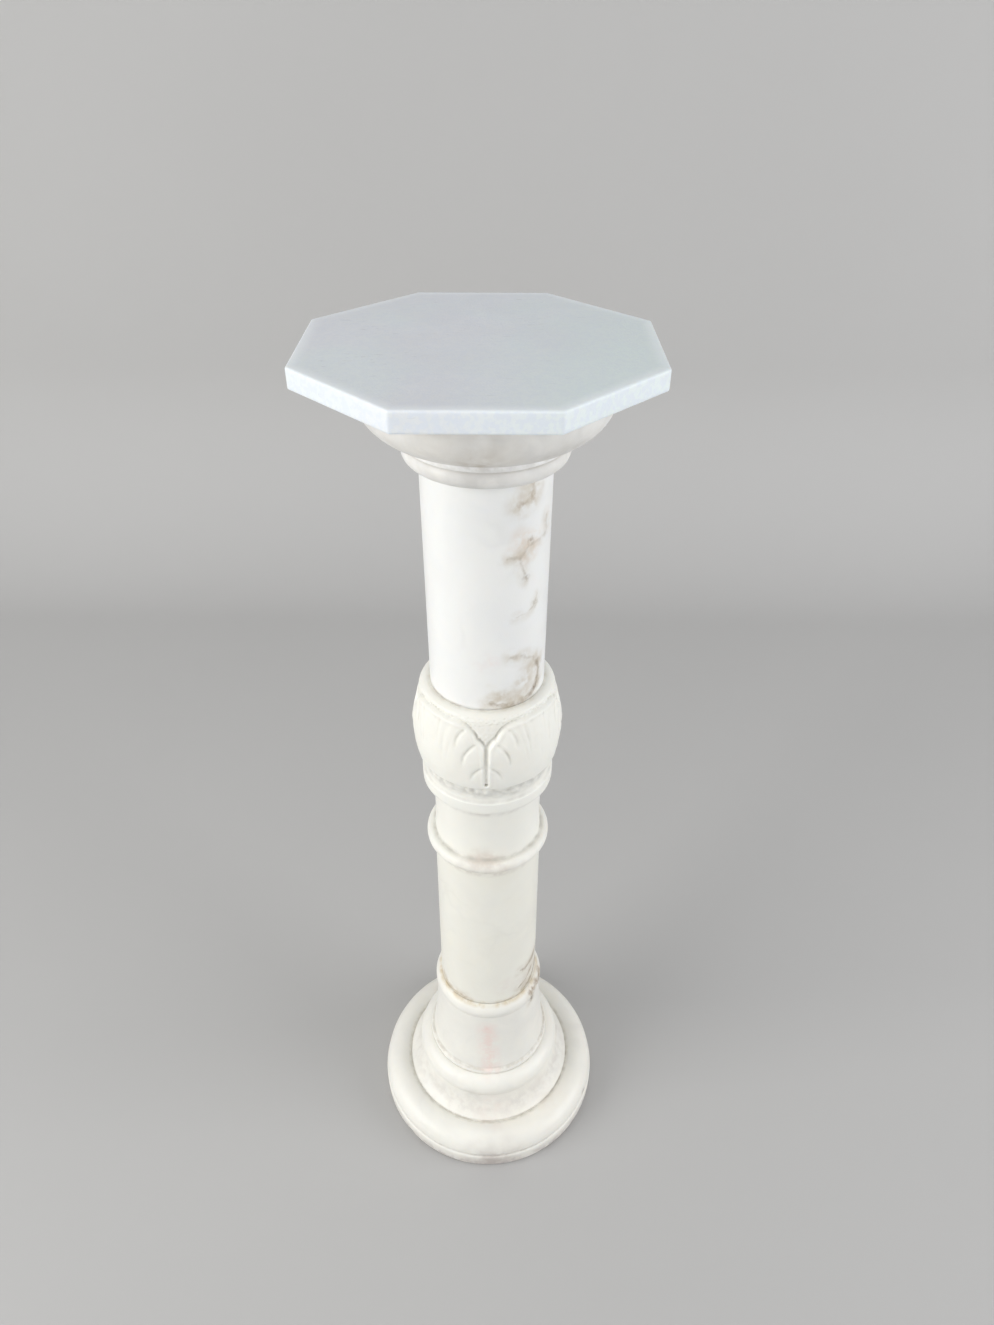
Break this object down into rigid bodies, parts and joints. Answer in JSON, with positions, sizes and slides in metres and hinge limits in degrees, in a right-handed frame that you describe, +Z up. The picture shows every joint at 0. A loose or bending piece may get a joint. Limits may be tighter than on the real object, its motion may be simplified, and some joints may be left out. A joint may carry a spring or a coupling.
{
  "type": "marble column pedestal",
  "caption": "Turned marble column on a stepped round foot, with a carved leaf knop, a spreading capital and a loose octagonal top slab that carries a statue, vase or plant.",
  "frame": {"origin": "on the column's axis at the underside of the foot", "axes": "+Z up along the column's axis, -Y towards the front, +X to the viewer's right"},
  "size_m": [0.2803, 0.2796, 1],
  "materials": {
    "base_stone": "polished",
    "lower_shaft_stone": "polished",
    "carved_stone": "satin",
    "upper_shaft_stone": "polished",
    "capital_stone": "satin",
    "slab_stone": "honed"
  },
  "bodies": {
    "root": {"base": "base_stone", "lower_shaft": "lower_shaft_stone", "leaf_knop": "carved_stone", "upper_shaft": "upper_shaft_stone", "capital": "capital_stone", "top_slab": "slab_stone"}
  },
  "joints": []
}
